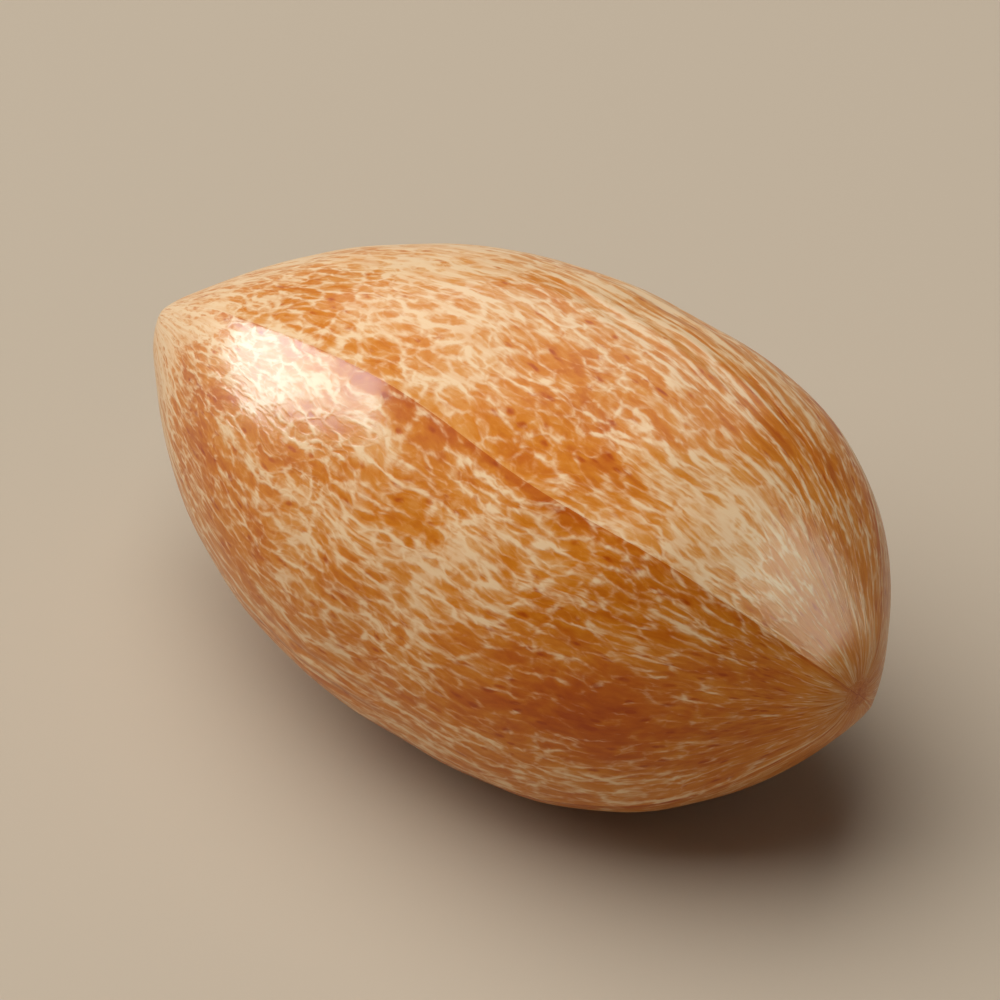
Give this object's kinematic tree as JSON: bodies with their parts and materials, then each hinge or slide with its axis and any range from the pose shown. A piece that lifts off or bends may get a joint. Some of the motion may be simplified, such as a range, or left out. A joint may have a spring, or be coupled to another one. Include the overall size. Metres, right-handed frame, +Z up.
{
  "type": "pecan",
  "caption": "Whole pecan in its closed shell: an ovoid nut with a pointed tip, a blunter stem end and faint lengthwise ridges, lying on its side on a small flat spot.",
  "frame": {"origin": "on the surface that the nut lies on, under the middle of its box", "axes": "+X along the nut from its pointed tip to its stem end, +Z up"},
  "size_m": [0.046, 0.0254, 0.0241],
  "materials": {
    "shell": "polished tan shell with an orange-brown ground under a net of pale fibres"
  },
  "bodies": {
    "root": {"pecan": "shell"}
  },
  "joints": []
}
